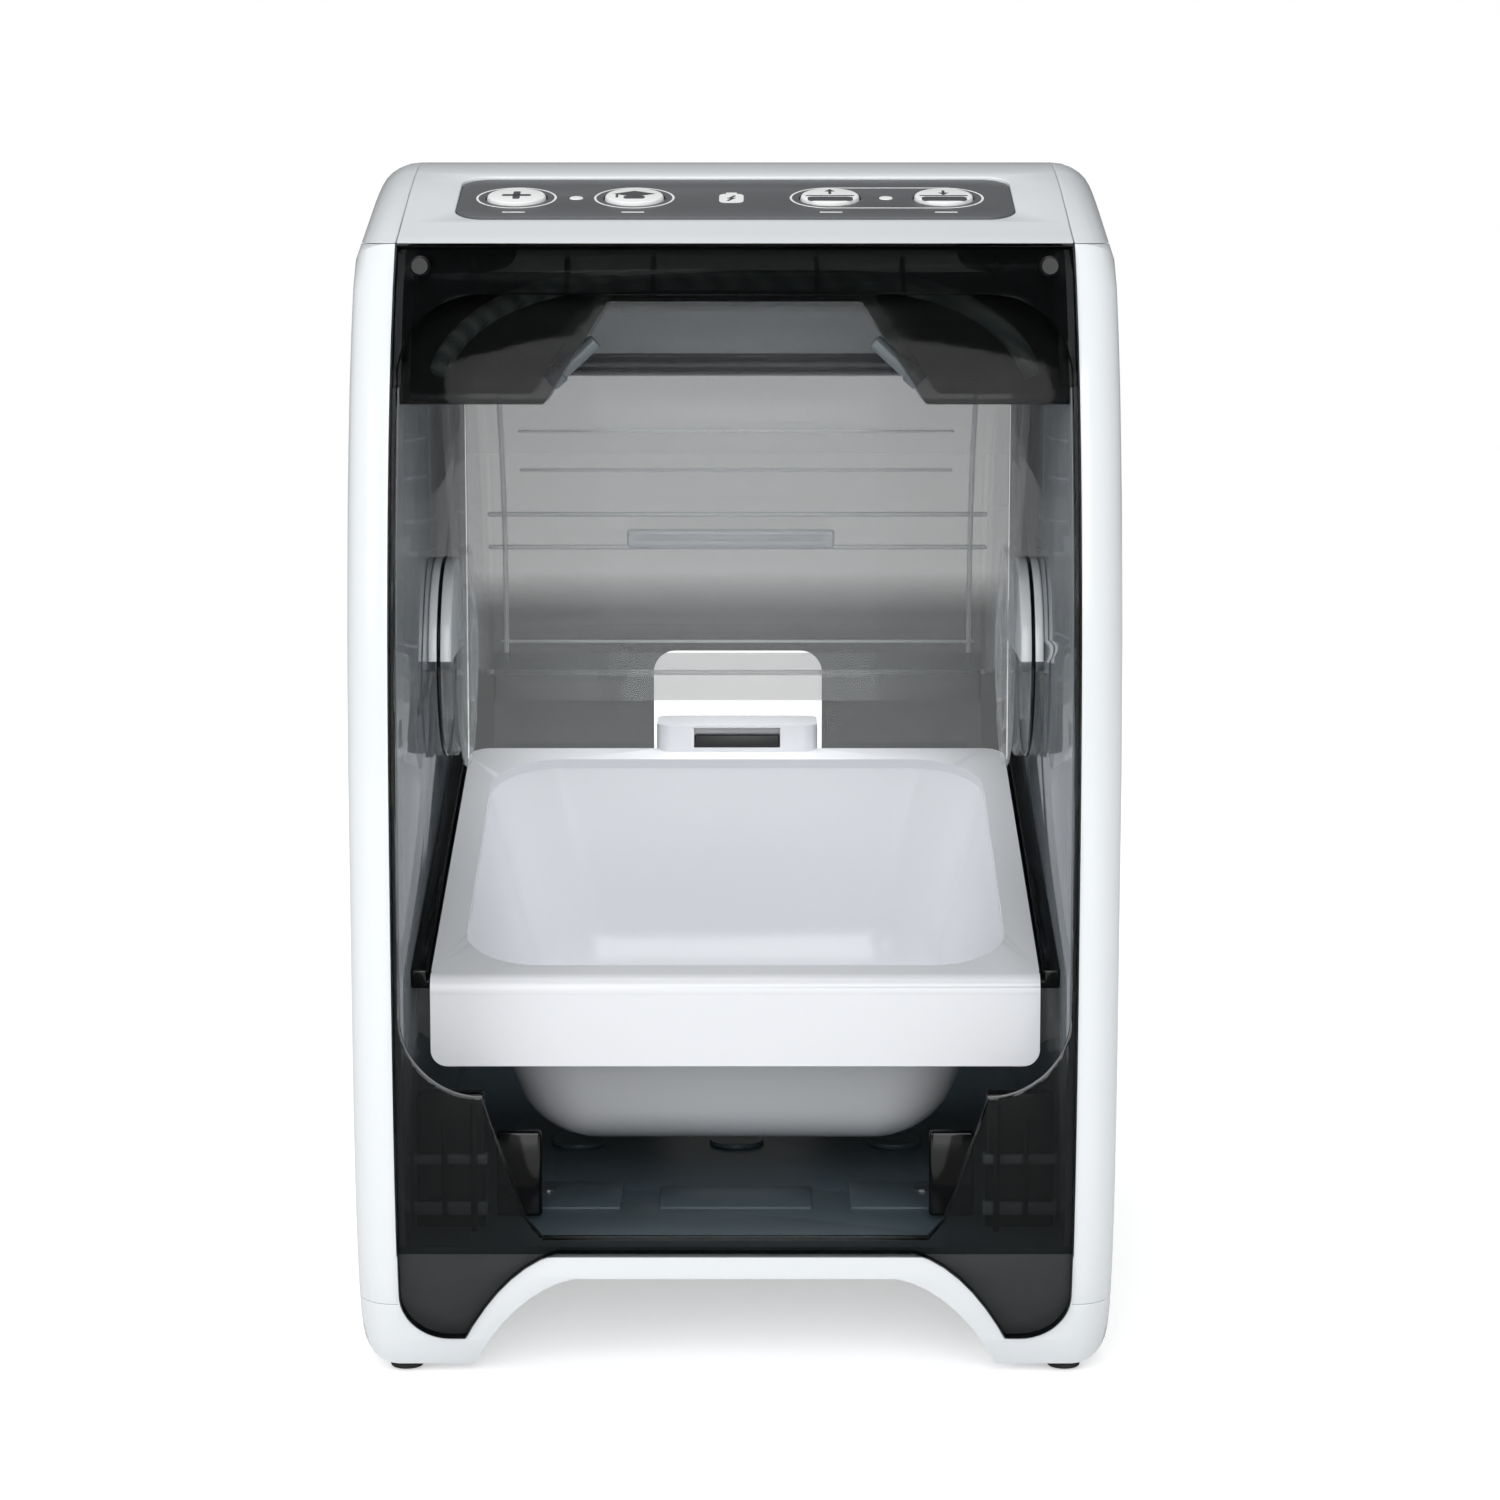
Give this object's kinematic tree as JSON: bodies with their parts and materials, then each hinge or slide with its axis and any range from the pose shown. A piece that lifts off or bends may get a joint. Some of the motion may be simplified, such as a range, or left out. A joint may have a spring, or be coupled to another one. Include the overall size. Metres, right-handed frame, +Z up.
{
  "type": "microchip pet feeder",
  "caption": "Free-standing pet feeder with a curved white casing, tinted entry frame, clear swinging lid on side hubs, sloped lift-out bowl and four keys on a sloped deck.",
  "frame": {"origin": "centre of the bounding box in plan, on the surface that the rubber feet stand on", "axes": "+X to the right seen from the entry, +Y from the entry towards the back, +Z up"},
  "size_m": [0.23, 0.29, 0.368],
  "materials": {
    "white_abs": "gloss white ABS moulding",
    "smoke_pc": "polished smoke tinted polycarbonate",
    "grey_pc": "polished grey tinted polycarbonate",
    "clear_pc": "clear polycarbonate",
    "black_abs": "gloss black ABS",
    "grey_overlay": "satin printed overlay",
    "white_button": "satin white key caps",
    "circuit_board": "solder mask",
    "coil_tape": "wound wire under woven tape",
    "cell_wrap": "printed cell sleeve",
    "steel": "bright steel",
    "acetal": "natural acetal",
    "black_screw": "black satin",
    "foot_rubber": "moulded rubber",
    "seal_rubber": "soft translucent silicone",
    "bowl_plastic": "gloss white food-safe plastic"
  },
  "bodies": {
    "housing": {"base_frame": "white_abs", "left_side_casing": "white_abs", "right_side_casing": "white_abs", "top_cover": "white_abs", "left_battery_cover": "white_abs", "right_battery_cover": "white_abs", "front_bezel": "smoke_pc", "left_liner": "grey_pc", "right_liner": "grey_pc", "liner_floor": "smoke_pc", "rear_shield": "grey_pc", "ceiling_housing": "black_abs", "rear_guard": "clear_pc", "left_rail": "black_abs", "right_rail": "black_abs", "left_hub_mount": "white_abs", "right_hub_mount": "white_abs", "control_panel": "grey_overlay", "indicator_leds": "white_button", "control_board": "circuit_board", "antenna_coil": "coil_tape", "battery_cells": "cell_wrap", "lid_motor": "steel", "bezel_screws": "black_screw", "base_screws": "steel", "feet": "foot_rubber"},
    "lid": {"lid_shell": "clear_pc", "lid_flanges": "clear_pc", "lid_seal": "seal_rubber", "left_hub": "white_abs", "right_hub": "white_abs", "lid_shaft": "steel", "lid_gear": "acetal"},
    "motor_shaft": {"motor_pinion": "acetal", "motor_shaft": "steel"},
    "bowl": {"bowl": "bowl_plastic", "bowl_grip": "black_screw"},
    "button_add": {"button_add": "white_button"},
    "button_train": {"button_train": "white_button"},
    "button_open": {"button_open": "white_button"},
    "button_close": {"button_close": "white_button"}
  },
  "joints": [
    {"name": "lid_swing", "type": "hinge", "parent": "housing", "child": "lid", "pos_m": [0, 0, 0.206], "axis": [1, 0, 0], "range_deg": [0, 95]},
    {"name": "motor_turn", "type": "hinge", "parent": "housing", "child": "motor_shaft", "pos_m": [0, 0.0332, 0.206], "axis": [1, 0, 0], "range_deg": [-430, 5]},
    {"name": "bowl_slide", "type": "slide", "parent": "housing", "child": "bowl", "axis": [0, -1, 0], "range_m": [0, 0.2]},
    {"name": "button_add_press", "type": "slide", "parent": "housing", "child": "button_add", "axis": [0, 0.2588, -0.9659], "range_m": [0, 0.001], "stiffness_N_per_m": 600},
    {"name": "button_train_press", "type": "slide", "parent": "housing", "child": "button_train", "axis": [0, 0.2588, -0.9659], "range_m": [0, 0.001], "stiffness_N_per_m": 600},
    {"name": "button_open_press", "type": "slide", "parent": "housing", "child": "button_open", "axis": [0, 0.2588, -0.9659], "range_m": [0, 0.001], "stiffness_N_per_m": 600},
    {"name": "button_close_press", "type": "slide", "parent": "housing", "child": "button_close", "axis": [0, 0.2588, -0.9659], "range_m": [0, 0.001], "stiffness_N_per_m": 600}
  ],
  "couplings": [
    {"joint": "motor_turn", "follows": "lid_swing", "ratio": -4.5}
  ]
}
